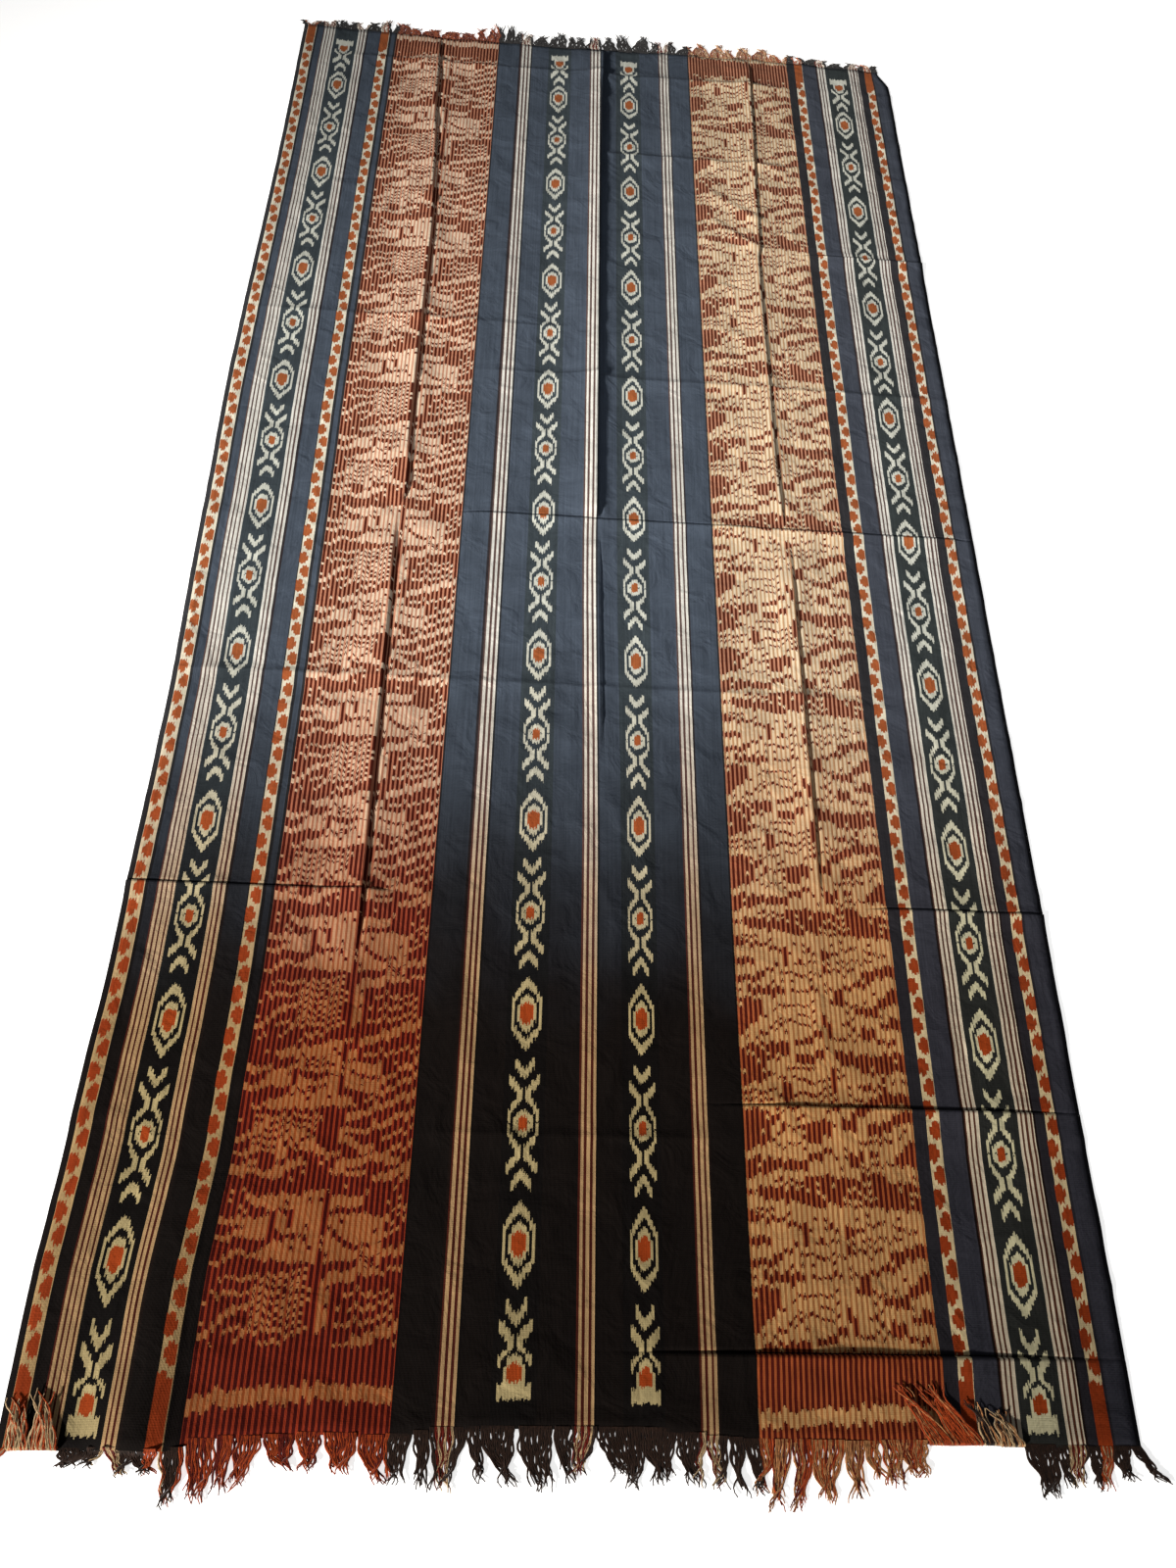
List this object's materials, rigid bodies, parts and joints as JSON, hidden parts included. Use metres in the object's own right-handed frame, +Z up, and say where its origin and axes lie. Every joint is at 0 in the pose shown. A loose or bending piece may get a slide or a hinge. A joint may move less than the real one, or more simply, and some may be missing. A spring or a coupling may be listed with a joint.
{
  "type": "ikat woven cloth",
  "caption": "Rectangular warp-ikat cotton cloth laid out flat, with storage creases across and along it and a fringe of loose warp ends at each end.",
  "frame": {"origin": "on the surface the cloth lies on, under the middle of the cloth and its fringes", "axes": "+Z up, +Y along the warp from the near end to the far end, +X across the cloth to the right selvedge"},
  "size_m": [1.2, 2.5139, 0.0105],
  "materials": {
    "ikat_cotton": "matt handwoven cotton, warp ikat in black, brick red and cream",
    "warp_ends": "loose twisted cotton warp ends in black, brick red and cream"
  },
  "bodies": {
    "root": {"cloth": "ikat_cotton", "fringe_near": "warp_ends", "fringe_far": "warp_ends"}
  },
  "joints": []
}
